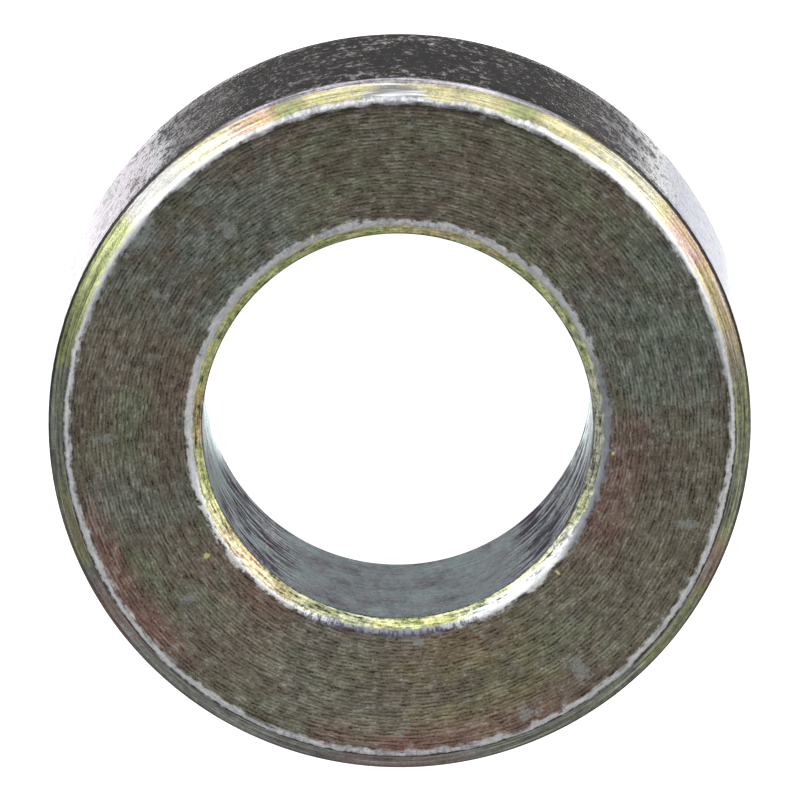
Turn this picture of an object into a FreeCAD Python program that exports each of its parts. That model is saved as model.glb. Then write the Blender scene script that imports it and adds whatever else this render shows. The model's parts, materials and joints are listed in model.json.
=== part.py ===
"""Turned spacer: a thick steel ring that keeps two parts a set distance apart on a bolt or pin.

Millimetres, +Z up along the ring. It lies on one end face, and the origin is the centre
of that face's outside circle. The outside is turned from bar. The bore and the shallow
chamfers at its mouths are cut on an axis of their own, a little off the outside's, as a
drill leaves them. The corners between the cuts are worn round.
"""
import FreeCAD, Part

import math
import os

# Main sizes
OUTER_DIAMETER = 36.0
BORE_DIAMETER = 20.0
LENGTH = 15.0

# How far the bore's axis has run off the outside's axis, towards -X
BORE_RUN_OUT = 0.1

# How far each chamfer reaches in across the end face, and how far along the ring
OUTER_CHAMFER_ACROSS = 0.95
OUTER_CHAMFER_ALONG = 1.2
BORE_CHAMFER_ACROSS = 0.75
BORE_CHAMFER_ALONG = 0.5

# Radius worn on each kind of corner, from the outside inwards
SKIN_CORNER_RADIUS = 0.2
FACE_RIM_RADIUS = 0.35
BORE_MOUTH_RADIUS = 0.45
BORE_CORNER_RADIUS = 0.2

# The most of a straight side that the wear on one of its corners may take up
WORN_SHARE = 0.45

# Radii that the cuts share
outer_radius = OUTER_DIAMETER / 2
bore_radius = BORE_DIAMETER / 2
mouth_radius = bore_radius + BORE_CHAMFER_ACROSS


def worn_radius(wanted, half_angle, side):
    """The wanted radius for a corner, or the largest that its shorter side has room for."""
    return min(wanted, side * WORN_SHARE * math.tan(half_angle))


def worn_corner(before, corner, after, wanted):
    """Start, middle and end of the arc that rounds one corner of a profile."""
    to_before = before - corner
    to_after = after - corner
    half_angle = to_before.getAngle(to_after) / 2
    radius = worn_radius(wanted, half_angle, min(to_before.Length, to_after.Length))
    setback = radius / math.tan(half_angle)
    depth = radius / math.sin(half_angle) - radius
    to_before.normalize()
    to_after.normalize()
    inwards = (to_before + to_after).normalize()
    return corner + to_before * setback, corner + inwards * depth, corner + to_after * setback


def outline(corners):
    """A closed wire round corners of (point, radius), with an arc wherever the radius is not 0."""
    points = [point for point, _ in corners]
    radii = [radius for _, radius in corners]
    befores = points[-1:] + points[:-1]
    afters = points[1:] + points[:1]
    bends = [worn_corner(*bend) for bend in zip(befores, points, afters, radii)]
    next_bends = bends[1:] + bends[:1]
    edges = []
    for (start, middle, end), (next_start, _, _), radius in zip(bends, next_bends, radii):
        if radius > 0:
            edges.append(Part.Arc(start, middle, end).toShape())
        edges.append(Part.LineSegment(end, next_start).toShape())
    return Part.Wire(edges)


def turned(lower_end, axis_x):
    """A solid turned about the upright line at x = axis_x, alike at both ends.

    lower_end lists the corners of its lower half as (radius, height, worn radius).
    """
    upper_end = [(radius, LENGTH - height, worn) for radius, height, worn in reversed(lower_end)]
    profile = lower_end + upper_end
    corners = [(FreeCAD.Vector(axis_x + radius, 0, height), worn) for radius, height, worn in profile]
    axis_foot = FreeCAD.Vector(axis_x, 0, 0)
    return Part.Face(outline(corners)).revolve(axis_foot, FreeCAD.Vector(0, 0, 1), 360)


def blank():
    """The bar cut to length, with both outer rims chamfered."""
    lower_end = [
        (0, 0, 0),
        (outer_radius - OUTER_CHAMFER_ACROSS, 0, FACE_RIM_RADIUS),
        (outer_radius, OUTER_CHAMFER_ALONG, SKIN_CORNER_RADIUS),
    ]
    return turned(lower_end, 0)


def bore_cut():
    """What the drill and the countersink take out, from one end face to the other."""
    lower_end = [
        (0, 0, 0),
        (mouth_radius, 0, 0),
        (bore_radius, BORE_CHAMFER_ALONG, BORE_CORNER_RADIUS),
    ]
    return turned(lower_end, -BORE_RUN_OUT)


def with_worn_mouths(ring):
    """The ring with the two circles rounded where the bore's chamfers meet the end faces."""
    circles = [edge for edge in ring.Edges if isinstance(edge.Curve, Part.Circle)]
    mouths = [edge for edge in circles if math.isclose(edge.Curve.Radius, mouth_radius)]
    chamfer_side = math.hypot(BORE_CHAMFER_ACROSS, BORE_CHAMFER_ALONG)
    half_angle = (math.pi - math.atan2(BORE_CHAMFER_ALONG, BORE_CHAMFER_ACROSS)) / 2
    return ring.makeFillet(worn_radius(BORE_MOUTH_RADIUS, half_angle, chamfer_side), mouths)


def spacer_ring():
    """The whole spacer, one solid."""
    return with_worn_mouths(blank().cut(bore_cut()))


os.makedirs("parts", exist_ok=True)
spacer_ring().exportStep("parts/spacer_ring.step")
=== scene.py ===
"""The looks of the spacer ring: turned steel with zinc plating and a yellow passivation, flat on a pale
floor.
"""

import json
import math

import bpy
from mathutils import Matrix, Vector


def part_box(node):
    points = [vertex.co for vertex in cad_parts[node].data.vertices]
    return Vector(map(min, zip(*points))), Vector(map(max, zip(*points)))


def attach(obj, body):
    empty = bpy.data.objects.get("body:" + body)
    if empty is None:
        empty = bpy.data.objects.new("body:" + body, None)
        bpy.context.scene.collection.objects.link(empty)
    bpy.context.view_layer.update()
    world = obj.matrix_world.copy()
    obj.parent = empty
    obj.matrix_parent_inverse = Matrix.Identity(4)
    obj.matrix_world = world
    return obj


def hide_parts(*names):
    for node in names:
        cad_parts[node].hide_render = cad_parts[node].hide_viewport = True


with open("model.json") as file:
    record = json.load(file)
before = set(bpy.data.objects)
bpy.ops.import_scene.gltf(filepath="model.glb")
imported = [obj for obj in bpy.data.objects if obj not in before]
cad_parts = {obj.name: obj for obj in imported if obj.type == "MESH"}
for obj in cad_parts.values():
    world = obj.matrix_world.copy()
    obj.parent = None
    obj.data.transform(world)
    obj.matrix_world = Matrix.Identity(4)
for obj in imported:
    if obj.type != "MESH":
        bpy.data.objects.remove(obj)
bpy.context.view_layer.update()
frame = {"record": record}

# Lengths are in metres, and the finish is worked out in millimetres
MM = 0.001
PER_MM = 1000.0
TURN = 2 * math.pi

# Sizes read from the frame. The smaller width keeps the ring's own mesh inside the solid's box
NODE = "spacer_ring"
ring_low, ring_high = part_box(NODE)
bore_mount = next(mount for mount in frame["record"]["mounts"] if mount["name"] == "bore")
LENGTH = ring_high.z - ring_low.z
OUTER_RADIUS = min(ring_high.x - ring_low.x, ring_high.y - ring_low.y) / 2
BORE_RADIUS = bore_mount["dims"]["r_mm"] * MM
RUN_OUT = -bore_mount["pos_m"][0]

# Chamfers: how far they reach across the end face and along the ring
OUTER_CHAMFER_ACROSS = 0.95 * MM
OUTER_CHAMFER_ALONG = 1.2 * MM
BORE_CHAMFER_ACROSS = 0.75 * MM
BORE_CHAMFER_ALONG = 0.5 * MM

# Radius worn on each kind of corner
SKIN_CORNER_RADIUS = 0.2 * MM
FACE_RIM_RADIUS = 0.35 * MM
BORE_MOUTH_RADIUS = 0.45 * MM
BORE_CORNER_RADIUS = 0.2 * MM

# Turning marks on the end faces: how far the tool moved each turn, and how deep its nose cut
TURNING_PITCH = 0.191 * MM
TURNING_DEPTH = 0.0035 * MM

# Nicks along the rims of the end faces, and chatter on the bore's chamfers in marks round the circle
NICK_DEPTH = 0.035 * MM
CHATTER_MARKS = 128
CHATTER_DEPTH = 0.012 * MM

# Mesh of the ring: points round each chatter mark, and rows of points across each turning mark, round
# each worn corner, and between two corners on the chamfers and on the walls. 196,608 triangles in all
STEPS_ROUND = 3 * CHATTER_MARKS
ROWS_PER_MARK = 3
ROWS_PER_CORNER = 3
CHAMFER_ROWS = 3
WALL_ROWS = 8

# Seed of the noises that vary the turning marks, the nicks and the chatter
SEED = 4.0

# How far in mm the tool's path wanders off a true circle
TOOL_WANDER_MM = 0.16

# Radii and heights in mm that the finish shares
OUTER_MM = OUTER_RADIUS * PER_MM
BORE_MM = BORE_RADIUS * PER_MM
FACE_RIM_MM = (OUTER_RADIUS - OUTER_CHAMFER_ACROSS) * PER_MM
MOUTH_MM = (BORE_RADIUS + BORE_CHAMFER_ACROSS) * PER_MM
MIDDLE_MM = (FACE_RIM_MM + MOUTH_MM) / 2
LENGTH_MM = LENGTH * PER_MM
PITCH_MM = TURNING_PITCH * PER_MM
CHAMFER_HEIGHT_MM = OUTER_CHAMFER_ALONG * PER_MM
MOUTH_HEIGHT_MM = BORE_CHAMFER_ALONG * PER_MM


class Wire:
    """The output of a node. Arithmetic on it adds Math nodes to its board."""

    def __init__(self, board, socket):
        self.board = board
        self.socket = socket

    def __add__(self, other):
        return self.board.maths("ADD", self, other)

    def __radd__(self, other):
        return self.board.maths("ADD", other, self)

    def __sub__(self, other):
        return self.board.maths("SUBTRACT", self, other)

    def __rsub__(self, other):
        return self.board.maths("SUBTRACT", other, self)

    def __mul__(self, other):
        return self.board.maths("MULTIPLY", self, other)

    def __rmul__(self, other):
        return self.board.maths("MULTIPLY", other, self)

    def __truediv__(self, other):
        return self.board.maths("DIVIDE", self, other)

    def __neg__(self):
        return self.board.maths("MULTIPLY", self, -1.0)


class Board:
    """A node tree being wired, for a surface, the surroundings or a shape."""

    def __init__(self, tree):
        self.tree = tree

    def plug(self, value, socket):
        """Links a wire to a socket, or sets the socket's own value."""
        if isinstance(value, Wire):
            self.tree.links.new(value.socket, socket)
        else:
            socket.default_value = value

    def add(self, kind, settings=None, inputs=None, output=0):
        """A new node with its settings made first and its sockets filled by name or number."""
        node = self.tree.nodes.new(kind)
        for name, value in (settings or {}).items():
            if name == "stops":
                self.set_stops(node.color_ramp, value)
            elif name == "choices":
                for _ in range(len(node.index_switch_items), value):
                    node.index_switch_items.new()
            else:
                setattr(node, name, value)
        for name, value in (inputs or {}).items():
            self.plug(value, node.inputs[name])
        return Wire(self, node.outputs[output]) if len(node.outputs) else None

    def set_stops(self, ramp, stops):
        """Makes a ramp's stops from (place, colour) pairs, the first at 0 and the last at 1."""
        ramp.elements[0].color = stops[0][1]
        ramp.elements[1].color = stops[-1][1]
        for place, tint in stops[1:-1]:
            ramp.elements.new(place).color = tint

    def maths(self, operation, *values):
        return self.add("ShaderNodeMath", {"operation": operation}, dict(enumerate(values)))

    def shifted(self, vector, offset):
        return self.add("ShaderNodeVectorMath", {"operation": "ADD"}, {0: vector, 1: offset})

    def scaled(self, vector, factor):
        return self.add("ShaderNodeVectorMath", {"operation": "SCALE"}, {"Vector": vector, "Scale": factor})

    def lit(self, tint, light):
        """A colour made lighter or darker by a factor."""
        return self.scaled(tint[:3] if isinstance(tint, tuple) else tint, light)

    def join(self, x, y, z):
        return self.add("ShaderNodeCombineXYZ", inputs={"X": x, "Y": y, "Z": z})

    def split(self, vector):
        parts = self.add("ShaderNodeSeparateXYZ", inputs={"Vector": vector})
        return [Wire(self, socket) for socket in parts.socket.node.outputs]

    def ease(self, value, start, end):
        """Rises smoothly from 0 to 1 as the value goes from start to end."""
        inputs = {"Value": value, "From Min": start, "From Max": end}
        return self.add("ShaderNodeMapRange", {"interpolation_type": "SMOOTHSTEP"}, inputs)

    def band(self, value, start, end, soft):
        """1 between start and end, with soft flanks outside them."""
        return self.ease(value, start - soft, start) * (1.0 - self.ease(value, end, end + soft))

    def noise(self, vector, scale, detail=2.0, roughness=0.5):
        inputs = {"Vector": vector, "Scale": scale, "Detail": detail, "Roughness": roughness}
        return self.add("ShaderNodeTexNoise", {"noise_dimensions": "3D"}, inputs)

    def ramp(self, value, stops):
        return self.add("ShaderNodeValToRGB", {"stops": stops}, {0: value})

    def tint(self, factor, one, other):
        """A colour that goes from one to the other with the factor."""
        return self.add("ShaderNodeMix", {"data_type": "RGBA"}, {0: factor, 6: one, 7: other}, 2)

    def between(self, factor, one, other):
        """A number that goes from one to the other with the factor."""
        return self.add("ShaderNodeMix", {"data_type": "FLOAT"}, {0: factor, 2: one, 3: other})


def colour(red, green, blue):
    return (red, green, blue, 1.0)


def new_material(name):
    """An empty material, and the board to wire it on."""
    material = bpy.data.materials.new(name)
    material.use_nodes = True
    material.node_tree.nodes.clear()
    return material, Board(material.node_tree)


class RingPlace:
    """Where a point of the ring lies: mm along each way, and its direction round the axis."""

    def __init__(self, board, position):
        self.board = board
        self.place = board.scaled(position, PER_MM)
        self.x, self.y, self.z = board.split(self.place)
        self.radius = board.maths("SQRT", self.x * self.x + self.y * self.y)
        bore_x = self.x + RUN_OUT * PER_MM
        self.bore_radius = board.maths("SQRT", bore_x * bore_x + self.y * self.y)
        self.end = board.maths("MINIMUM", self.z, LENGTH_MM - self.z)
        self.upper = board.maths("GREATER_THAN", self.z, LENGTH_MM / 2)
        self.to_x = self.x / self.radius
        self.to_y = self.y / self.radius

        # 1 past each border between two cuts, and 0 before it
        self.past_rim = board.maths("GREATER_THAN", self.radius, FACE_RIM_MM + 0.08)
        self.past_chamfer = self.past_rim * board.maths("GREATER_THAN", self.end, CHAMFER_HEIGHT_MM)
        self.past_mouth = board.maths("LESS_THAN", self.bore_radius, MOUTH_MM - 0.1)
        self.in_bore = self.past_mouth * board.maths("GREATER_THAN", self.end, MOUTH_HEIGHT_MM)

    def by_surface(self, face, chamfer, skin, mouth, bore):
        """A number for each surface: end face, outer chamfer, bar skin, bore chamfer and bore wall."""
        outwards = self.past_rim * (chamfer - face) + self.past_chamfer * (skin - chamfer)
        inwards = self.past_mouth * (mouth - face) + self.in_bore * (bore - mouth)
        return outwards + inwards + face

    def round_noise(self, reach, across, seed, detail=2.0, roughness=0.5):
        """Noise drawn out round the ring. Its grains are MIDDLE_MM / reach long, and 1 wide across."""
        shift = self.upper * 37.0 + seed
        vector = self.board.join(self.to_x * reach + shift, self.to_y * reach, across)
        return self.board.noise(vector, 1.0, detail, roughness)

    def grain(self, around, across, width, seed, detail=2.0, roughness=0.5):
        """Noise in grains so many mm long round the ring, and so many wide as counted across it."""
        return self.round_noise(MIDDLE_MM / around, across * (1.0 / width), seed, detail, roughness)

    def mottle(self, size, seed, detail=3.0, roughness=0.6):
        """Noise with grains of one size in mm, alike in every direction."""
        vector = self.board.shifted(self.place, self.board.join(seed, seed * 2.0, 0.0))
        return self.board.noise(vector, 1.0 / size, detail, roughness)

    def wedge(self, degrees, half_width, soft):
        """1 in a wedge round the ring. Degrees run clockwise from +Y as seen from above."""
        angle = math.radians(degrees)
        facing = self.to_x * math.sin(angle) + self.to_y * math.cos(angle)
        inner = math.cos(math.radians(max(half_width - soft, 0.0)))
        outer = math.cos(math.radians(half_width + soft))
        return self.board.ease(facing, outer, inner)

    def wedges(self, amounts):
        """The sum of wedges given as (degrees, half width, soft, amount)."""
        total = 0.0
        for degrees, half_width, soft, amount in amounts:
            total = self.wedge(degrees, half_width, soft) * amount + total
        return total

    def from_mark(self, degrees, radius):
        """Distances in mm from a place on the end face: round the ring, and outwards."""
        angle = math.radians(degrees)
        round_it = self.x * math.cos(angle) - self.y * math.sin(angle)
        outwards = self.x * math.sin(angle) + self.y * math.cos(angle) - radius
        return round_it, outwards

    def nearest_mark(self, marks):
        """How near the point is to a mark on the upper face: 1 at its middle, 0 at its edge, then below 0.

        Marks are given as (degrees, radius, size round, size outwards).
        """
        nearest = -1.0
        for degrees, radius, size_round, size_out in marks:
            round_it, outwards = self.from_mark(degrees, radius)
            round_it = round_it * (1.0 / size_round)
            outwards = outwards * (1.0 / size_out)
            distance = self.board.maths("SQRT", round_it * round_it + outwards * outwards)
            nearest = self.board.maths("MAXIMUM", 1.0 - distance, nearest)
        return (nearest + 1.0) * self.upper - 1.0


# The shape

def turning_phase(board, radius, wander):
    """Where a point lies along the tool's feed, as an angle."""
    return (radius - FACE_RIM_MM + wander) * (TURN / PITCH_MM)


def tool_wander(spot):
    """How far in mm the tool's path lies off a true circle."""
    return (spot.grain(around=5.0, across=spot.radius, width=1.2, seed=11.0) - 0.5) * TOOL_WANDER_MM


def corner_list(size):
    """The section's corners as (radius, height, worn radius), down the outside and up the bore."""
    rim = size["Outer Radius"] - size["Outer Chamfer Across"]
    mouth = size["Bore Radius"] + size["Bore Chamfer Across"]
    length = size["Length"]
    outer_top = length - size["Outer Chamfer Along"]
    bore_top = length - size["Bore Chamfer Along"]
    return [
        (rim, length, size["Face Rim Radius"]),
        (size["Outer Radius"], outer_top, size["Skin Corner Radius"]),
        (size["Outer Radius"], size["Outer Chamfer Along"], size["Skin Corner Radius"]),
        (rim, 0.0, size["Face Rim Radius"]),
        (mouth, 0.0, size["Bore Mouth Radius"]),
        (size["Bore Radius"], size["Bore Chamfer Along"], size["Bore Corner Radius"]),
        (size["Bore Radius"], bore_top, size["Bore Corner Radius"]),
        (mouth, length, size["Bore Mouth Radius"]),
    ]


def chosen(board, index, kind, choices):
    """The choice whose place in the list is the index."""
    inputs = {0: index}
    inputs.update({1 + place: choice for place, choice in enumerate(choices)})
    return board.add("GeometryNodeIndexSwitch", {"data_type": kind, "choices": len(choices)}, inputs)


def section_curve(board, size, path_radius):
    """The closed section of the wall, corners worn, with rows of points where the finish needs them."""
    corners = corner_list(size)
    index = board.add("GeometryNodeInputIndex")
    start = board.add("GeometryNodeCurvePrimitiveCircle", inputs={"Resolution": len(corners)})
    places = [board.join(radius - path_radius, 0.0 - height, 0.0) for radius, height, _ in corners]
    place = chosen(board, index, "VECTOR", places)
    sharp = board.add("GeometryNodeSetPosition", inputs={"Geometry": start, "Position": place})
    worn = chosen(board, index, "FLOAT", [radius for _, _, radius in corners])
    rounding = {"Curve": sharp, "Count": ROWS_PER_CORNER, "Radius": worn, "Limit Radius": True}
    rounded = board.add("GeometryNodeFilletCurve", {"mode": "POLY"}, rounding)

    # A corner becomes this many points, and its straight side starts at the last of them
    points = ROWS_PER_CORNER + 1
    corner = board.maths("FLOOR", (index + 0.5) / points)
    starts_side = board.maths("COMPARE", index - corner * points, points - 1.0, 0.5)
    face = size["Face Rows"]
    chamfer = size["Chamfer Rows"]
    sides = [chamfer, size["Outside Rows"], chamfer, face, chamfer, size["Bore Rows"], chamfer, face]
    rows = chosen(board, corner, "FLOAT", sides)
    return board.add("GeometryNodeSubdivideCurve", inputs={"Curve": rounded, "Cuts": rows * starts_side})


def place_in_tree(board):
    return RingPlace(board, board.add("GeometryNodeInputPosition"))


def moved(board, ring, offset):
    return board.add("GeometryNodeSetPosition", inputs={"Geometry": ring, "Offset": offset})


def shifted_bore(board, ring, size):
    """The ring with its bore moved off the outside's axis, and the face stretched a little to meet it."""
    spot = place_in_tree(board)
    near_bore = 1.0 - board.ease(spot.radius, MOUTH_MM + 0.2, MOUTH_MM + 0.6)
    return moved(board, ring, board.join(near_bore * size["Run Out"] * -1.0, 0.0, 0.0))


def turning_marks(board, ring, size):
    """The rings that the tool's nose cut into both end faces."""
    spot = place_in_tree(board)
    on_face = 1.0 - board.ease(spot.end, 0.001, 0.004)
    clear = on_face * board.band(spot.radius, MOUTH_MM + 0.55, FACE_RIM_MM - 0.3, 0.2)
    wave = board.maths("COSINE", turning_phase(board, spot.radius, tool_wander(spot)))
    uneven = spot.grain(around=2.5, across=spot.radius, width=0.4, seed=size["Seed"])
    depth = (1.0 - wave) * size["Turning Depth"] * uneven
    inwards = 1.0 - spot.upper * 2.0
    return moved(board, ring, board.join(0.0, 0.0, depth * clear * inwards))


def worn_edges(board, ring, size):
    """Nicks along the face's rims and chatter on the bore's chamfers, all cut inwards."""
    spot = place_in_tree(board)
    near_end = 1.0 - board.ease(spot.end, 0.25, 0.45)
    rim = board.band(spot.radius, FACE_RIM_MM - 0.1, FACE_RIM_MM + 0.12, 0.12)
    mouth = board.band(spot.bore_radius, MOUTH_MM - 0.15, MOUTH_MM + 0.15, 0.12)
    chips = board.ease(spot.mottle(0.6, size["Seed"], roughness=0.65), 0.52, 0.74)
    nick = size["Nick Depth"] * chips * near_end * (rim + mouth)
    bore_chamfer = board.band(spot.bore_radius, BORE_MM + 0.13, MOUTH_MM - 0.25, 0.1) * near_end
    angle = board.maths("ARCTAN2", spot.x, spot.y)
    scallop = 0.5 + 0.5 * board.maths("COSINE", angle * CHATTER_MARKS + spot.end * 6.0)
    patchy = board.ease(spot.mottle(4.5, size["Seed"], detail=1.0), 0.4, 0.62)
    chatter = size["Chatter Depth"] * scallop * bore_chamfer * patchy
    normal = board.add("GeometryNodeInputNormal")
    return moved(board, ring, board.scaled(normal, (nick + chatter) * -1.0))


def face_fields(board, spot, patches):
    """How the film on the end faces varies, and where it is burnished."""
    drift = spot.grain(around=5.0, across=spot.radius, width=2.2, seed=3.0, detail=4.0, roughness=0.6)
    ragged_radius = spot.radius + patches * 1.4
    outer_part = board.ease(ragged_radius, *FACE_OUTER_PART)
    inner_part = 1.0 - board.ease(ragged_radius, *FACE_INNER_PART)
    russet = spot.wedges(RUSSET_OUTER) * outer_part + spot.wedges(RUSSET_INNER) * inner_part
    return {
        "wander": tool_wander(spot),
        "drift": drift,
        "cool": spot.wedges(COOL_PARTS) * board.ease(patches, 0.3, 0.6),
        "brown": spot.wedges(BROWN_PARTS) * board.ease(drift, 0.3, 0.6),
        "golden": spot.wedges(GOLDEN_PARTS) * board.ease(drift + patches, 0.8, 1.15),
        "russet": russet * board.ease(drift, 0.35, 0.58),
        "burnished": spot.nearest_mark(BURNISHED),
    }


def chamfer_fields(board, spot):
    """How the film on the chamfers varies, the wear on them and on the rims beside them, and the painted
    shade, highlight and reflection on both.
    """
    down_chamfer = spot.radius + spot.end
    coarse = spot.grain(around=1.4, across=down_chamfer, width=0.6, seed=37.0, detail=3.0, roughness=0.6)
    on_outside = board.maths("GREATER_THAN", spot.radius, MIDDLE_MM)
    outer_film = 0.22 + spot.wedges(CHAMFER_FILM) + (coarse - 0.5) * 0.3
    bore_film = 0.76 + spot.wedges(MOUTH_FILM) + (coarse - 0.5) * 0.25
    # Duller away from +Y and less dull over the +Y half: painted shade and painted reflection; the rest
    # varies at random and in wedges
    outer_dull_and_shade = 0.45 - spot.wedge(0, 76, 12) * 0.35 + (coarse - 0.5) * 0.6 + spot.wedges(CHAMFER_DULL)
    outer_bare = spot.wedges(CHAMFER_BARE) + board.ease(coarse, 0.5, 0.8) * 0.5
    bore_bare = spot.wedges(MOUTH_BARE) + board.ease(coarse, 0.55, 0.8) * 0.25
    bore_bare = bore_bare + spot.wedges(MOUTH_WHITE) * board.ease(spot.bore_radius, *MOUTH_WHITE_PART)
    return {
        "film": board.between(on_outside, bore_film, outer_film),
        "dull": board.between(on_outside, spot.wedges(MOUTH_DULL), outer_dull_and_shade),
        "bare": board.between(on_outside, bore_bare, outer_bare),
        "green": spot.wedges(GREEN_PARTS) * on_outside,
        # The next fields hold painted shade and highlight by direction on the chamfers and rims, the lens's
        # painted reflection, and where the edges take painted shade or highlight
        "shade": board.between(on_outside, spot.wedges(MOUTH_SHADE), spot.wedges(CHAMFER_SHADE)),
        "tarnish": board.between(on_outside, spot.wedges(MOUTH_RIM_SHADE), spot.wedges(RIM_SHADE)),
        "chipped": board.between(on_outside, spot.wedges(MOUTH_CHIPPED), spot.wedges(RIM_CHIPPED)),
        "lens": spot.nearest_mark(LENS),
        "top": spot.wedge(0, 27, 6),
        "lower": 1.0 - spot.wedge(0, 84, 12),
    }


def skin_fields(board, spot, patches):
    """How the bar's skin goes from dark at the ring's +Y and -Y sides to a painted white reflection at its X
    sides, with a painted blue or purple sheen near them.
    """
    sideways = board.maths("ABSOLUTE", spot.to_x)
    # Towards the X sides the skin takes a painted white reflection
    plated = board.ease(sideways + (patches - 0.5) * 0.4, 0.56, 0.72)
    return {
        "plated": plated,
        "cover": plated * 0.08 - board.band(sideways, 0.42, 0.54, 0.08) * 0.05,
        "pitted": board.ease(sideways, 0.46, 0.58) * (1.0 - board.ease(sideways, 0.68, 0.94) * 0.85),
        "thin": board.band(sideways, 0.46, 0.64, 0.08) * 0.045 - board.ease(sideways, 0.7, 0.8) * 0.01,
        # A painted blue sheen near +X and a painted purple sheen near -X
        "sheen": spot.wedge(60, 4, 11) - spot.wedge(-54, 2, 11),
    }


def bore_fields(board, spot):
    """Where the drill left bands round the bore, and where it scored it."""
    drill_path = board.join(spot.to_x * 5.0 + 31.0, spot.to_y * 5.0, spot.z * 1.1)
    return {
        "drilled": board.noise(drill_path, 1.0, detail=4.0, roughness=0.6),
        "scored": spot.wedges(SCORED_BORE),
    }


def finish_fields(board):
    """What varies slowly over the ring, by name, for the finish to read."""
    spot = place_in_tree(board)
    patches = spot.mottle(size=1.6, seed=5.0)
    fields = {"patches": patches}
    fields.update(face_fields(board, spot, patches))
    fields.update(chamfer_fields(board, spot))
    fields.update(skin_fields(board, spot, patches))
    fields.update(bore_fields(board, spot))
    return fields


def with_fields(board, ring, fields):
    """The ring with each field stored on its points under the field's name."""
    for name, value in fields.items():
        settings = {"data_type": "FLOAT", "domain": "POINT"}
        inputs = {"Geometry": ring, "Name": name, "Value": value}
        ring = board.add("GeometryNodeStoreNamedAttribute", settings, inputs)
    return ring


def ring_tree(sizes, finish):
    """The node tree that turns the section round the axis and cuts the marks of making and wear."""
    tree = bpy.data.node_groups.new("turned_ring", "GeometryNodeTree")
    tree.interface.new_socket("Geometry", in_out="OUTPUT", socket_type="NodeSocketGeometry")
    for name, value in sizes.items():
        kind = "NodeSocketInt" if isinstance(value, int) else "NodeSocketFloat"
        tree.interface.new_socket(name, in_out="INPUT", socket_type=kind)
    board = Board(tree)
    group = tree.nodes.new("NodeGroupInput")
    size = {name: Wire(board, group.outputs[name]) for name in sizes}

    path_radius = (size["Outer Radius"] + size["Bore Radius"]) * 0.5
    path_inputs = {"Resolution": size["Steps Round"], "Radius": path_radius}
    path = board.add("GeometryNodeCurvePrimitiveCircle", inputs=path_inputs)
    section = section_curve(board, size, path_radius)
    ring = board.add("GeometryNodeCurveToMesh", inputs={"Curve": path, "Profile Curve": section})
    ring = shifted_bore(board, ring, size)
    ring = turning_marks(board, ring, size)
    ring = worn_edges(board, ring, size)
    ring = with_fields(board, ring, finish_fields(board))
    ring = board.add("GeometryNodeSetShadeSmooth", inputs={"Geometry": ring})
    ring = board.add("GeometryNodeRealizeInstances", inputs={"Geometry": ring})
    ring = board.add("GeometryNodeSetMaterial", inputs={"Geometry": ring, "Material": finish})
    board.plug(ring, tree.nodes.new("NodeGroupOutput").inputs[0])
    return tree


def ring_sizes():
    """The tree's inputs by name."""
    face_width = (FACE_RIM_MM - MOUTH_MM) * MM
    return {
        "Outer Radius": OUTER_RADIUS,
        "Bore Radius": BORE_RADIUS,
        "Length": LENGTH,
        "Run Out": RUN_OUT,
        "Outer Chamfer Across": OUTER_CHAMFER_ACROSS,
        "Outer Chamfer Along": OUTER_CHAMFER_ALONG,
        "Bore Chamfer Across": BORE_CHAMFER_ACROSS,
        "Bore Chamfer Along": BORE_CHAMFER_ALONG,
        "Skin Corner Radius": SKIN_CORNER_RADIUS,
        "Face Rim Radius": FACE_RIM_RADIUS,
        "Bore Mouth Radius": BORE_MOUTH_RADIUS,
        "Bore Corner Radius": BORE_CORNER_RADIUS,
        "Turning Depth": TURNING_DEPTH,
        "Chatter Depth": CHATTER_DEPTH,
        "Nick Depth": NICK_DEPTH,
        "Steps Round": STEPS_ROUND,
        "Face Rows": round(face_width / TURNING_PITCH * ROWS_PER_MARK) - 1,
        "Chamfer Rows": CHAMFER_ROWS,
        "Outside Rows": WALL_ROWS,
        "Bore Rows": WALL_ROWS,
        "Seed": SEED,
    }


def plain_mesh(name, tree, sizes):
    """A plain mesh object of what a tree makes with the given inputs."""
    maker = bpy.data.objects.new(name + "_maker", bpy.data.meshes.new(name + "_maker"))
    bpy.context.scene.collection.objects.link(maker)
    modifier = maker.modifiers.new("shape", "NODES")
    modifier.node_group = tree
    for item in tree.interface.items_tree:
        if item.in_out == "INPUT":
            modifier[item.identifier] = sizes[item.name]
    evaluated = maker.evaluated_get(bpy.context.evaluated_depsgraph_get())
    mesh = bpy.data.meshes.new_from_object(evaluated)
    mesh.name = name
    maker.modifiers.remove(modifier)
    bpy.data.objects.remove(maker)
    made = bpy.data.objects.new(name, mesh)
    bpy.context.scene.collection.objects.link(made)
    return made


# The finish. Colours are chosen for light reflected from steel with zinc plating

# Colour of the passivation film on bright zinc, from no film at 0 to a thick one at 1
FILM = (
    (0.0, colour(0.66, 0.67, 0.70)),
    (0.12, colour(0.67, 0.64, 0.46)),
    (0.24, colour(0.66, 0.60, 0.29)),
    (0.34, colour(0.62, 0.48, 0.26)),
    (0.42, colour(0.60, 0.37, 0.29)),
    (0.50, colour(0.44, 0.31, 0.33)),
    (0.58, colour(0.32, 0.36, 0.34)),
    (0.66, colour(0.34, 0.42, 0.24)),
    (0.76, colour(0.56, 0.60, 0.25)),
    (0.86, colour(0.58, 0.52, 0.24)),
    (0.94, colour(0.58, 0.40, 0.24)),
    (1.0, colour(0.52, 0.32, 0.26)),
)
DULL_FILM = colour(0.36, 0.34, 0.29)
GREEN_FILM = colour(0.52, 0.57, 0.28)

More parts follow.
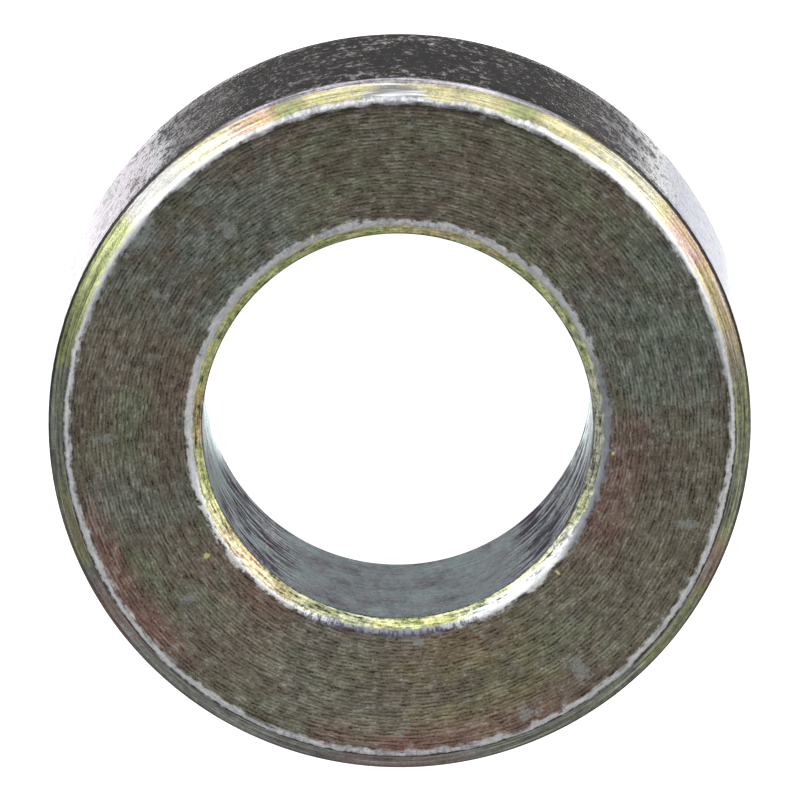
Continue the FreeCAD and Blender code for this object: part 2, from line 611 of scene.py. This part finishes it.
# The end faces' film, from thin to thick, and the metal where it is rubbed, burnished or nicked
FACE_BROWN = colour(0.338, 0.288, 0.224)
FACE_OLIVE = colour(0.314, 0.33, 0.215)
FACE_GOLDEN = colour(0.39, 0.33, 0.19)
FACE_COOL = colour(0.29, 0.34, 0.305)
FACE_RUSSET = colour(0.43, 0.24, 0.21)
RUBBED_FACE = colour(0.42, 0.44, 0.39)
BURNISHED_FACE = colour(0.50, 0.54, 0.53)
NICKED_FACE = colour(1.0, 0.95, 0.45)

# Zinc and steel on the rims and chamfers, and the painted shade, highlights and reflection on them
BARE_ZINC = colour(0.74, 0.75, 0.76)
# A bluish painted shade on the worn rims
SHADED_BLUISH_ZINC = colour(0.52, 0.55, 0.64)
# A pale painted highlight on the outer chamfer's outer edge at +Y
EDGE_HIGHLIGHT = colour(0.66, 0.64, 0.74)
# A painted reflection of bright zinc in the outer chamfer's lens
LENS_REFLECTION = colour(0.62, 0.63, 0.66)
CHIPPED_STEEL = colour(0.14, 0.15, 0.21)
# Near-black painted shade and dark reflection along the outer chamfer's edges
EDGE_SHADE = colour(0.035, 0.033, 0.035)

# The bar's skin: dark and rusty steel and zinc specks on it, and the painted white reflection with a painted
# blue or purple sheen on its sides
DARK_SKIN = colour(0.10, 0.10, 0.10)
RUSTY_SKIN = colour(0.26, 0.17, 0.145)
ZINC_SPECKS = colour(0.50, 0.49, 0.51)
WHITE_GLARE = colour(0.92, 0.93, 0.98)
BLUE_SHEEN = colour(0.24, 0.27, 0.42)
PURPLE_SHEEN = colour(0.56, 0.44, 0.57)
SKIN_HOLLOWS = colour(0.05, 0.048, 0.055)

# The bore
BORE_TEAL = colour(0.42, 0.51, 0.51)
BORE_PLUM = colour(0.44, 0.36, 0.46)
BORE_FLECKS = colour(1.0, 0.94, 1.0)
DRILL_SCRATCH = colour(0.07, 0.055, 0.08)

# How much light the darkest grooves and scratches still give back
LEAST_LIGHT_FACE = 0.18
LEAST_LIGHT_CHAMFER = 0.12
LEAST_LIGHT_MOUTH = 0.1
LEAST_LIGHT_BORE = 0.08

# Where the film on the outer chamfer is thicker or thinner: degrees, half width, softness, amount
CHAMFER_FILM = (
    (-31, 3, 4, 0.05),
    (-25, 3, 4, 0.15),
    (42, 7, 5, -0.06),
    (56, 4, 4, 0.17),
    (72, 9, 6, 0.10),
    (101, 14, 8, 0.46),
    (122, 9, 7, 0.50),
    (148, 14, 8, 0.42),
    (172, 10, 7, 0.24),
    (-140, 34, 10, 0.36),
    (-124, 5, 5, -0.10),
    (-92, 20, 6, 0.40),
)
GREEN_PARTS = (
    (-66, 13, 3, 0.8),
    (-19, 0.5, 3, 0.6),
    (-10, 5, 3, 0.2),
    (21, 1.5, 3, 0.6),
    (86, 4, 4, 0.5),
)

# The same for the bore's chamfer
MOUTH_FILM = (
    (8, 8, 5, 0.10),
    (26, 6, 5, 0.05),
    (-86, 7, 3, 0.13),
    (-132, 17, 6, 0.11),
    (-160, 9, 6, -0.05),
    (60, 12, 8, -0.05),
)

# Where the chamfers' film is rubbed off to bare zinc, and where it is dull
CHAMFER_BARE = ((-46, 6, 3, 0.8), (-33, 3, 5, 0.35), (44, 5, 6, 0.15), (0, 5, 4, 0.2))
MOUTH_BARE = ((138, 22, 10, 0.2), (92, 16, 8, 0.45))
MOUTH_WHITE = ((140, 18, 8, 0.9), (235, 14, 8, 0.2))
MOUTH_DULL = ((203, 14, 8, 0.4), (60, 60, 25, 0.2))
CHAMFER_DULL = ((160, 14, 10, 0.3), (84, 5, 4, 0.5))

# Painted shade where the amount is above 0 and painted highlight where it is below, by direction round the
# chamfers, but for the narrow wedges near ±20 degrees, which darken the dark green spots there; after them,
# the same for the worn rims beside the chamfers, bluish where shaded
CHAMFER_SHADE = (
    (-95, 24, 8, 0.3),
    (-61, 6, 5, -0.2),
    (-31, 6, 5, -0.2),
    (-19, 1.5, 2.5, 0.35),
    (20, 3, 3, 0.35),
    (29, 6, 5, 0.22),
    (53, 12, 6, -0.22),
    (175, 24, 10, 0.14),
)
MOUTH_SHADE = (
    (-150, 8, 8, 0.25),
    (118, 8, 6, 0.18),
    (-80, 10, 6, -0.1),
    (60, 14, 8, -0.26),
    (-22, 14, 8, 0.2),
    (180, 7, 6, -0.1),
)
# Painted shade and highlight on the worn rims by direction, bluish where shaded
RIM_SHADE = (
    (0, 22, 8, 0.12),
    (78, 8, 6, 0.2),
    (-62, 8, 6, 0.3),
    (-90, 14, 8, 0.12),
    (-36, 8, 6, -0.2),
    (38, 12, 8, -0.4),
    (60, 6, 6, -0.15),
)
MOUTH_RIM_SHADE = (
    (97, 28, 8, 0.75),
    (184, 15, 8, 0.8),
    (-132, 22, 10, -0.9),
    (150, 9, 7, -0.2),
    (-40, 35, 12, 0.12),
    (45, 12, 8, 0.16),
    (-104, 8, 6, 0.14),
)

# Where the worn rims are chipped down to dark steel
RIM_CHIPPED = ((184, 20, 10, 0.5), (0, 24, 10, 0.6))
MOUTH_CHIPPED = ((184, 24, 10, 1.3), (0, 24, 10, 0.4))

# Pale burnished patches on the end face: degrees, radius, size round, size outwards
BURNISHED = (
    (144.0, 15.5, 0.42, 0.75),
    (156.5, 16.3, 0.55, 0.40),
    (109.0, 15.5, 0.25, 0.80),
    (-61.0, 14.1, 0.22, 0.55),
    (-129.5, 14.0, 0.30, 0.50),
    (-53.0, 16.5, 1.30, 0.35),
    (65.0, 16.5, 0.28, 0.42),
    (-40.0, 13.6, 0.45, 0.60),
    (118.5, 16.6, 0.18, 0.35),
    (-92.0, 15.0, 0.30, 0.60),
    (2.0, 15.7, 0.35, 0.18),
    (175.5, 11.2, 0.35, 0.35),
)

# A painted reflection: a lens of bright zinc on the outer chamfer at +Y, given the same way
LENS = ((-1.0, 17.0, 1.75, 0.76),)

# Bright nicks that show yellow film: degrees, radius, size round, size outwards
NICKS = (
    (-124.0, 11.9, 0.14, 0.20),
    (133.0, 11.1, 0.10, 0.22),
    (20.0, 10.85, 0.16, 0.14),
    (-24.0, 10.9, 0.10, 0.16),
    (97.0, 11.0, 0.12, 0.10),
)

# Where the end face's film is cooler or redder: degrees, half width, softness, amount
COOL_PARTS = ((-45, 17, 10, 0.75), (69, 17, 10, 0.65), (-106, 6, 4, 0.5), (-165, 10, 8, 0.25))
RUSSET_OUTER = ((-120, 16, 7, 0.9), (162, 16, 8, 0.7), (-174, 8, 5, 0.6), (-28, 8, 5, 0.4))
RUSSET_INNER = ((-136, 12, 6, 0.6), (106, 18, 8, 0.6), (-78, 8, 5, 0.35), (170, 14, 8, 0.3))
BROWN_PARTS = ((112, 22, 10, 0.8), (-150, 20, 10, 0.5), (8, 20, 12, 0.4))
GOLDEN_PARTS = ((163, 12, 8, 0.7), (-172, 8, 6, 0.4))

# Where the drill scored the bore
SCORED_BORE = ((-131, 14, 6, 0.9), (124, 18, 6, 0.9))

# Radii in mm between which one finish goes over into the next, from the rim inwards
OUTER_EDGE = (OUTER_MM - 0.16, OUTER_MM - 0.11)
INNER_LINE = (FACE_RIM_MM + 0.1, FACE_RIM_MM + 0.17)
ON_CHAMFER = (FACE_RIM_MM, FACE_RIM_MM + 0.12)
RIM_WORN_TO = (FACE_RIM_MM + 0.05, FACE_RIM_MM + 0.17)
RIM_WORN_FROM = (FACE_RIM_MM - 0.31, FACE_RIM_MM - 0.05)
RIM_FRINGE = (FACE_RIM_MM - 0.65, FACE_RIM_MM - 0.3)
FACE_OUTER_PART = (FACE_RIM_MM - 1.45, FACE_RIM_MM - 0.05)
FACE_INNER_PART = (MOUTH_MM + 1.85, MOUTH_MM + 3.45)
MOUTH_WORN_TO = (MOUTH_MM + 0.05, MOUTH_MM + 0.25)
MOUTH_WORN_FROM = (MOUTH_MM - 0.29, MOUTH_MM - 0.15)
ON_MOUTH = (MOUTH_MM - 0.15, MOUTH_MM - 0.05)
MOUTH_WHITE_PART = (BORE_MM + 0.15, BORE_MM + 0.35)


class Surface:
    """What the finishes of the ring's surfaces share: the place, stored fields and fine noises.

    streak runs along the tool's path, grit is the finest grain, haze is a soft mottling,
    and teeth make a border ragged. ridge and groove are the two sides of a turning mark.
    """

    def __init__(self, board):
        self.board = board
        self.spot = spot = RingPlace(board, board.add("ShaderNodeTexCoord", output="Object"))
        self.patches = self.stored("patches")
        self.plated = self.stored("plated")
        reach = spot.by_surface(15.0, 3.5, 12.0, 9.0, 3.5)
        per_radius = spot.by_surface(1.0 / PITCH_MM, 8.0, 0.0, 9.0, 0.0)
        per_height = spot.by_surface(0.0, 0.0, 3.0, 0.0, 2.6)
        across = spot.radius * per_radius + spot.z * per_height
        self.streak = spot.round_noise(reach, across, seed=13.0, roughness=0.75)
        grit_scale = spot.by_surface(7.0, 6.0, 3.2, 6.0, 4.0)
        grit_height = spot.z * spot.by_surface(1.0, 1.0, 0.42, 1.0, 0.5)
        grit_place = board.scaled(board.join(spot.x, spot.y, grit_height), grit_scale)
        self.grit = board.noise(grit_place, 1.0, roughness=0.85)
        self.haze = spot.mottle(size=0.45, seed=9.0, roughness=0.66)
        ragged = spot.grain(around=0.3, across=spot.radius, width=0.5, seed=23.0, detail=3.0, roughness=0.7)
        self.teeth = ragged - 0.5
        wander = self.stored("wander") + (self.grit - 0.5) * 0.2 + (self.haze - 0.5) * 0.35
        wave = board.maths("COSINE", turning_phase(board, spot.radius, wander))
        clear = 0.3 + 0.7 * board.ease(self.patches + (self.haze - 0.5) * 0.9, 0.36, 0.62)
        self.ridge = board.ease(wave, -0.2, 0.95) * board.ease(self.streak, 0.4, 0.6) * clear
        self.groove = board.ease(wave, -0.1, -0.9) * board.ease(self.streak, 0.58, 0.38)

    def stored(self, name):
        return self.board.add("ShaderNodeAttribute", {"attribute_name": name}, output="Fac")

    def film_colour(self, thickness, dull, bare):
        """The film's colour at a thickness, dulled towards grey brown and rubbed towards bare zinc."""
        tint = self.board.tint(dull, self.board.ramp(thickness, FILM), DULL_FILM)
        return self.board.tint(bare, tint, BARE_ZINC)


def turned_face(surface):
    """Colour of the end faces: mottled brown and green film over fine turning marks."""
    board = surface.board
    greenish = board.ease(surface.stored("drift") + surface.patches * 0.5, 0.66, 0.88)
    tint = board.tint(greenish * (1.0 - surface.stored("brown")), FACE_BROWN, FACE_OLIVE)
    tint = board.tint(surface.stored("golden"), tint, FACE_GOLDEN)
    tint = board.tint(surface.stored("cool"), tint, FACE_COOL)
    tint = board.tint(surface.stored("russet"), tint, FACE_RUSSET)
    pale = board.ease(surface.haze, 0.5, 0.66) * 0.45 + surface.ridge * 0.12
    tint = board.tint(pale, tint, RUBBED_FACE)
    light = 0.86 + 0.6 * surface.ridge - 0.44 * surface.groove + 0.6 * (surface.streak - 0.5)
    light = light + 1.4 * (surface.grit - 0.5) + 0.8 * (surface.haze - 0.5) + 0.4 * (surface.patches - 0.5)
    fringe = board.ease(surface.spot.radius + surface.teeth * 0.4, *RIM_FRINGE)
    light = light * (1.0 - fringe * (0.12 + 0.3 * surface.stored("top")))
    tint = board.lit(tint, board.maths("MAXIMUM", light, LEAST_LIGHT_FACE))

    uneven = (surface.haze - 0.5) * 2.4 + (surface.grit - 0.5) * 1.2
    burnished = board.ease(surface.stored("burnished") + uneven, -0.3, 0.6)
    tint = board.tint(burnished * 0.6, tint, board.lit(BURNISHED_FACE, 0.5 + surface.grit))
    nicks = board.ease(surface.spot.nearest_mark(NICKS) + uneven * 0.8, 0.0, 0.4)
    return board.tint(nicks, tint, NICKED_FACE)


def worn_rims(surface):
    """How far the plating is worn pale along the two rims of the end face, with ragged borders."""
    board = surface.board
    spot = surface.spot
    haze = surface.haze - 0.5
    uneven = surface.teeth * 0.4 + (surface.patches - 0.5) * 0.5 + haze * 0.4
    uneven = uneven + (surface.streak - 0.5) * 0.5
    rim = board.ease(spot.radius + uneven, *RIM_WORN_FROM)
    rim = rim * (1.0 - board.ease(spot.radius + uneven * 0.6, *RIM_WORN_TO))
    mouth = 1.0 - board.ease(spot.bore_radius - uneven, *MOUTH_WORN_TO)
    narrow = board.maths("MAXIMUM", 0.0 - surface.stored("tarnish"), 0.0) * 0.15
    ragged_radius = spot.bore_radius - surface.teeth * 0.3 - haze * 0.4 - narrow
    mouth = mouth * board.ease(ragged_radius, *MOUTH_WORN_FROM)
    near_end = 1.0 - board.ease(spot.end, 0.25, 0.35)
    return (rim + mouth) * near_end


def worn_metal(surface):
    """Colour of the worn rims: bare zinc with dark teeth where it is chipped, under a bluish painted shade
    and painted highlight by direction.
    """
    board = surface.board
    chips = board.ease(surface.teeth + (surface.grit - 0.5) * 0.4, -0.06, 0.1)
    chips = chips * (0.12 + 0.7 * surface.stored("chipped"))
    # The rim shade field paints shade, bluish and darker, where it is above 0, and a painted highlight where
    # it is below
    tarnish = surface.stored("tarnish")
    shine = 0.72 + surface.grit * 0.5 + surface.haze * 0.4 + (surface.streak - 0.5) * 0.9
    pale = board.lit(board.tint(tarnish, BARE_ZINC, SHADED_BLUISH_ZINC), shine * (1.0 - tarnish * 0.6))
    return board.tint(chips, pale, CHIPPED_STEEL)


def outer_chamfer(surface):
    """Colour of the outer chamfers: bands of film round the rim under fine tool lines, with painted shade
    and highlight by direction, a painted reflection in a lens at +Y, and painted dark edges.
    """
    board = surface.board
    spot = surface.spot
    fine = surface.streak - 0.5
    grit = surface.grit - 0.5
    haze = surface.haze - 0.5
    film = surface.stored("film") + fine * 0.25 + haze * 0.25
    bare = surface.stored("bare") + fine * 0.9 + grit * 0.5
    tint = surface.film_colour(film, surface.stored("dull") + haze * 0.9, bare)
    green = surface.stored("green") + fine * 1.2 + haze * 1.2
    tint = board.tint(board.ease(green, 0.2, 0.7), tint, GREEN_FILM)
    uneven = 3.0 * fine + 1.1 * grit + 1.3 * haze
    calm = 1.0 - 0.6 * board.ease(surface.stored("bare"), 0.3, 0.8)
    light = board.maths("MAXIMUM", 0.97 + uneven * calm, LEAST_LIGHT_CHAMFER)
    # Painted shade where the shade field is above 0, and painted highlight where it is below
    light = light * (1.0 - surface.stored("shade"))
    tint = board.lit(tint, light)
    # The lens: a painted reflection of bright zinc, crossed by dark tool lines
    lens = board.ease(surface.stored("lens") + fine * 1.2 + haze * 0.8, -0.1, 0.15)
    lens_lines = board.ease(surface.streak, 0.42, 0.6)
    tint = board.tint(lens * 0.95, tint, board.lit(LENS_REFLECTION, 0.35 + lens_lines * 1.1))

    # Painted shade and highlight on the edges: the inner edge has a line of painted shade all round but at
    # +Y, and the outer edge is a painted dark reflection but for a painted pale highlight at +Y
    lower = surface.stored("lower")
    top = surface.stored("top")
    inner_shade_line = board.band(spot.radius + surface.teeth * 0.06, *INNER_LINE, 0.05) * lower
    tint = board.tint(inner_shade_line * 0.9, tint, EDGE_SHADE)
    outer_edge = board.ease(spot.radius + surface.teeth * 0.1 + top * 0.05, *OUTER_EDGE)
    edge_shade_and_highlight = board.tint(top, EDGE_SHADE, board.lit(EDGE_HIGHLIGHT, light * 0.8))
    return board.tint(outer_edge * (0.9 - 0.45 * lower), tint, edge_shade_and_highlight)


def speckle(surface):
    """High spots of the bar's skin that took the zinc bright. They join up towards the X sides, into the
    painted reflection there.
    """
    grain = surface.grit * 0.5 + surface.haze * 0.5 + (surface.patches - 0.5) * 0.4 + surface.stored("cover")
    return surface.board.ease(grain, 0.46 + surface.plated * 0.05, 0.68 - surface.plated * 0.09)


def hollows(surface):
    """Dull hollows between the high spots near the X sides, where the zinc stayed thin."""
    board = surface.board
    depth = surface.grit * 0.6 + surface.haze * 0.4 + (surface.patches - 0.5) * 0.5 - surface.stored("thin")
    deep = board.ease(depth, 0.475, 0.41) * surface.stored("pitted")
    sheen = board.maths("ABSOLUTE", surface.stored("sheen"))
    dull = board.ease(surface.haze + surface.patches * 0.4, 0.76, 0.56) * sheen
    return board.maths("MAXIMUM", deep * 0.9, dull * 0.28)


def bar_skin(surface):
    """Colour of the outside: dark drawn bar with zinc specks, and a painted white reflection on its X sides
    with a painted blue or purple sheen.

    The sheen is blue where it is above 0 and purple where it is below.
    """
    board = surface.board
    reddish = board.ease(surface.haze + (surface.patches - 0.5) * 0.6, 0.44, 0.62)
    steel = board.tint(reddish, DARK_SKIN, RUSTY_SKIN)
    sheen = surface.stored("sheen")
    cloudy = (surface.haze - 0.5) * 1.6 + (surface.patches - 0.5) * 0.8
    # The X sides: a painted white reflection, tinted to a painted blue or purple sheen
    zinc = board.tint(board.ease(sheen + cloudy, 0.1, 1.1), WHITE_GLARE, BLUE_SHEEN)
    zinc = board.tint(board.ease(cloudy - sheen, 0.1, 1.1), zinc, PURPLE_SHEEN)
    bright = board.tint(surface.plated, ZINC_SPECKS, zinc)
    bright = board.lit(bright, 0.1 + surface.haze * 1.1 + surface.grit * 0.7)
    tint = board.tint(speckle(surface), steel, bright)
    return board.tint(hollows(surface), tint, SKIN_HOLLOWS)


def bore_chamfer(surface):
    """Colour of the bore's chamfers: yellow green film with fine tool lines, under painted shade and
    highlight by direction.
    """
    board = surface.board
    fine = surface.streak - 0.5
    grit = surface.grit - 0.5
    haze = surface.haze - 0.5
    film = surface.stored("film") + haze * 0.25
    bare = surface.stored("bare") + grit * 0.6 + fine * 0.8
    tint = surface.film_colour(film, surface.stored("dull") + fine * 0.9, bare)
    # Darker on the half away from +Y and where the shade field is above 0, as painted shade; lighter where
    # it is below 0, as painted highlight
    light = 1.1 - 0.28 * surface.stored("lower") + 3.4 * fine + 1.3 * grit
    light = light + surface.teeth * 1.4 + 2.2 * haze
    light = board.maths("MAXIMUM", light, LEAST_LIGHT_MOUTH) * (1.0 - surface.stored("shade"))
    return board.lit(tint, light)


def scratched(surface):
    """How deep the drill left dull scratches round the bore."""
    drilled = surface.stored("drilled") - 0.5
    scored = surface.stored("scored")
    scratch = surface.streak * 1.3 - 0.15 + drilled * 0.6 + (surface.haze - 0.5) * 0.4 + scored * 0.12
    return surface.board.ease(scratch, 0.52, 0.67) * (0.35 + 0.65 * scored)


def bore_wall(surface):
    """Colour of the bore: grey green with plum patches, and pale flecks between the dark scratches."""
    board = surface.board
    drilled = surface.stored("drilled")
    scored = surface.stored("scored")
    fine = surface.streak - 0.5
    tint = board.tint(board.ease(surface.haze + drilled, 0.92, 1.15) * 0.75, BORE_TEAL, BORE_PLUM)
    light = 0.98 + 2.0 * (surface.grit - 0.5) + 2.4 * (0.5 - drilled) + 1.8 * (surface.haze - 0.5)
    light = light - 2.5 * scored * fine
    tint = board.lit(tint, board.maths("MAXIMUM", light, LEAST_LIGHT_BORE))
    flecks = board.ease(surface.grit - fine * 0.9, 0.54, 0.61) * scored
    tint = board.tint(flecks, tint, BORE_FLECKS)
    return board.tint(scratched(surface), tint, DRILL_SCRATCH)


def yellow_zinc():
    """One finish for the whole ring: each cut surface has its own colour, gloss and grain."""
    material, board = new_material("yellow_zinc")
    surface = Surface(board)
    spot = surface.spot

    # Where each cut's finish starts, with a slightly ragged border
    border = surface.teeth * 0.2
    on_chamfer = board.ease(spot.radius + border, *ON_CHAMFER)
    on_skin = board.ease(spot.end + border, CHAMFER_HEIGHT_MM - 0.04, CHAMFER_HEIGHT_MM + 0.06) * on_chamfer
    on_mouth = 1.0 - board.ease(spot.bore_radius + border, *ON_MOUTH)
    on_bore = board.ease(spot.end + border, MOUTH_HEIGHT_MM - 0.04, MOUTH_HEIGHT_MM + 0.06) * on_mouth

    tint = turned_face(surface)
    tint = board.tint(on_chamfer, tint, outer_chamfer(surface))
    tint = board.tint(on_skin, tint, bar_skin(surface))
    tint = board.tint(on_mouth, tint, bore_chamfer(surface))
    tint = board.tint(on_bore, tint, bore_wall(surface))
    worn = worn_rims(surface)
    tint = board.tint(worn, tint, worn_metal(surface))

    # Heights in mm: turning ridges, tool lines and grit, each as deep as its surface shows it
    relief = surface.streak * spot.by_surface(0.003, 0.006, 0.006, 0.008, 0.03)
    relief = relief + surface.grit * spot.by_surface(0.006, 0.01, 0.035, 0.012, 0.02)
    bump = board.add("ShaderNodeBump", inputs={"Strength": 1.0, "Distance": MM, "Height": relief})
    rough_spots = 0.55 * speckle(surface) * (1.0 - surface.plated * 0.8) * on_skin
    dull = hollows(surface) * on_skin
    pits = scratched(surface) * on_bore
    roughness = spot.by_surface(0.34, 0.24, 0.11, 0.26, 0.2) + rough_spots + 0.5 * pits + 0.2 * worn
    inputs = {
        "Base Color": tint,
        "Metallic": 1.0 - pits - dull,
        "Roughness": roughness,
        "Specular IOR Level": 0.0,
        "Normal": bump,
    }
    shader = board.add("ShaderNodeBsdfPrincipled", inputs=inputs)
    board.add("ShaderNodeOutputMaterial", inputs={"Surface": shader})
    return material


# The setting

# The camera, and where it sees the middle of the upper end face
CAMERA_DISTANCE = 1.5
CAMERA_TILT = math.radians(10.99)
PIXELS_PER_MM = 19.547
IMAGE_SIDE_PX = 800
FACE_CENTRE_PX = (399.63, 427.94)
SENSOR_WIDTH = 36

WHITE = colour(1.0, 1.0, 1.0)
WHITE_BOARD = colour(0.85, 0.85, 0.85)
GREY_CARD = colour(0.94, 1.0, 1.0)

FLOOR_HALF_SIDE = 2.0
FLOOR_DROP = 0.02 * MM

# The card under the bore glows faintly, and more and more between two places in mm along X at each side
CARD_DROP = 0.4 * MM
CARD_STEPS_ROUND = 96
CARD_GLOW = 0.34
PLUS_X_GLOW = 1.5
MINUS_X_GLOW = 1.4
CARD_PLUS_X_EDGE = (7.8, 9.3)
CARD_MINUS_X_EDGE = (8.4, 9.4)

CEILING_LIGHT_SIZE = 0.06
CEILING_LIGHT_WATTS = 0.011
CEILING_LIGHT_PLACE = (0, -0.09, 0.18)
CEILING_LIGHT_TILT = math.radians(-25)

# How strongly each part of the surroundings glows
AIR_GLOW = 0.12
WINDOW_GLOW = 1.0
PANE_GLOW = 0.5
WALL_GLOW = 0.32
SKIRTING_GLOW = 0.26
CEILING_GLOW = 0.07
CEILING_GLOW_BEHIND = 0.25
TABLE_GLOW = 1.32
SILL_GLOW = 0.5


def photo_camera():
    """The camera that looks down the bore as the photograph does, from a little towards +Y."""
    across = Vector((1, 0, 0))
    up = Vector((0, math.cos(CAMERA_TILT), -math.sin(CAMERA_TILT)))
    back = Vector((0, math.sin(CAMERA_TILT), math.cos(CAMERA_TILT)))
    face_centre = Vector((0, 0, LENGTH))
    metres_per_px = MM / PIXELS_PER_MM
    right_px = IMAGE_SIDE_PX / 2 - FACE_CENTRE_PX[0]
    up_px = FACE_CENTRE_PX[1] - IMAGE_SIDE_PX / 2
    data = bpy.data.cameras.new("photo_camera")
    data.sensor_width = SENSOR_WIDTH
    data.lens = data.sensor_width * CAMERA_DISTANCE / (IMAGE_SIDE_PX * metres_per_px)
    data.clip_start = CAMERA_DISTANCE / 10
    data.clip_end = CAMERA_DISTANCE * 10
    camera = bpy.data.objects.new("photo_camera", data)
    shift = (across * right_px + up * up_px) * metres_per_px
    camera.location = face_centre + back * CAMERA_DISTANCE + shift
    camera.rotation_euler = (-CAMERA_TILT, 0, 0)
    bpy.context.scene.collection.objects.link(camera)
    bpy.context.scene.camera = camera


def staged_sheet(name, points, material):
    """A flat sheet that is part of the setting."""
    mesh = bpy.data.meshes.new(name)
    mesh.from_pydata(points, [], [tuple(range(len(points)))])
    mesh.materials.append(material)
    sheet = bpy.data.objects.new(name, mesh)
    bpy.context.scene.collection.objects.link(sheet)
    return sheet


def pale_floor():
    """A plain white floor. The ring's reflections come from the surroundings and not from it."""
    material, board = new_material("white_board")
    white = {
        "Base Color": WHITE_BOARD,
        "Roughness": 0.9,
        "Emission Color": WHITE,
        "Emission Strength": 1.0,
    }
    shader = board.add("ShaderNodeBsdfPrincipled", inputs=white)
    board.add("ShaderNodeOutputMaterial", inputs={"Surface": shader})
    corners = [(-1, -1), (1, -1), (1, 1), (-1, 1)]
    points = [(x * FLOOR_HALF_SIDE, y * FLOOR_HALF_SIDE, -FLOOR_DROP) for x, y in corners]
    floor = staged_sheet("floor", points, material)
    floor.visible_glossy = False


def shade_under_bore():
    """A grey card under the bore, seen only in the bore's reflections: the ring shades what lies there."""
    material, board = new_material("grey_card")
    place = board.scaled(board.add("ShaderNodeTexCoord", output="Object"), PER_MM)
    x, _, _ = board.split(place)
    glow = CARD_GLOW + PLUS_X_GLOW * board.ease(x, *CARD_PLUS_X_EDGE)
    glow = glow + MINUS_X_GLOW * board.ease(-x, *CARD_MINUS_X_EDGE)
    card = board.add("ShaderNodeEmission", inputs={"Color": GREY_CARD, "Strength": glow})
    board.add("ShaderNodeOutputMaterial", inputs={"Surface": card})
    angles = [TURN * step / CARD_STEPS_ROUND for step in range(CARD_STEPS_ROUND)]
    rim = [(BORE_RADIUS * math.cos(angle) - RUN_OUT, BORE_RADIUS * math.sin(angle)) for angle in angles]
    shade = staged_sheet("shade", [(x, y, -CARD_DROP) for x, y in rim], material)
    shade.visible_camera = False
    shade.visible_diffuse = False
    shade.visible_shadow = False


def ceiling_light():
    """A small soft light over the -Y side, so that the near half of the end face is a little brighter."""
    data = bpy.data.lights.new("ceiling_light", "AREA")
    data.shape = "DISK"
    data.size = CEILING_LIGHT_SIZE
    data.energy = CEILING_LIGHT_WATTS
    light = bpy.data.objects.new("ceiling_light", data)
    light.location = CEILING_LIGHT_PLACE
    light.rotation_euler = (CEILING_LIGHT_TILT, 0, 0)
    bpy.context.scene.collection.objects.link(light)


def studio_surround():
    """Soft light from all round: windows towards +Y, a dim ceiling, and a white table below.

    Each part is a band of directions, given by their height in degrees above the horizon and by
    how far they point towards +Y.
    """
    world = bpy.data.worlds.new("studio")
    world.use_nodes = True
    world.node_tree.nodes.clear()
    board = Board(world.node_tree)
    direction = board.add("ShaderNodeTexCoord", output="Generated")
    x, y, z = board.split(direction)
    level = board.maths("MAXIMUM", board.maths("SQRT", x * x + y * y), 0.0001)
    towards_y = y / level
    elevation = board.maths("ARCSINE", z) * (360.0 / TURN)
    behind = board.ease(-y, 0.0, 0.5)

    window = board.ease(elevation, -13.0, -8.0) * (1.0 - board.ease(elevation, 42.0, 52.0))
    window = window * board.ease(towards_y + x * 0.06, -0.12, 0.36)
    panes = board.band(towards_y, 0.5, 0.8, 0.2)
    walls = board.band(elevation, 6.0, 58.0, 10.0)
    skirting = board.band(elevation, -34.0, -2.0, 12.0) * (1.0 - board.ease(towards_y, -0.2, 0.5))
    ceiling = board.ease(elevation, 58.0, 72.0) * (CEILING_GLOW + CEILING_GLOW_BEHIND * behind)
    below = 1.0 - board.ease(elevation, -62.0, -50.0)
    table = below * (1.0 - board.ease(towards_y + x / level * 0.035, 0.01, 0.14))
    sill = board.band(elevation, -60.0, -10.0, 8.0) * board.ease(towards_y, 0.6, 0.85)
    light = AIR_GLOW + window * (WINDOW_GLOW + PANE_GLOW * panes) + WALL_GLOW * walls + ceiling
    light = light + SKIRTING_GLOW * skirting + TABLE_GLOW * table + SILL_GLOW * sill
    shade = board.add("ShaderNodeBackground", inputs={"Color": WHITE, "Strength": light})
    board.add("ShaderNodeOutputWorld", inputs={"Surface": shade})
    bpy.context.scene.world = world


def main():
    scene = bpy.context.scene
    scene.view_settings.view_transform = "Standard"
    photo_camera()
    pale_floor()
    shade_under_bore()
    ceiling_light()
    studio_surround()

    sizes = ring_sizes()
    ring = plain_mesh("turned_ring", ring_tree(sizes, yellow_zinc()), sizes)
    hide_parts(NODE)
    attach(ring, "root")


main()
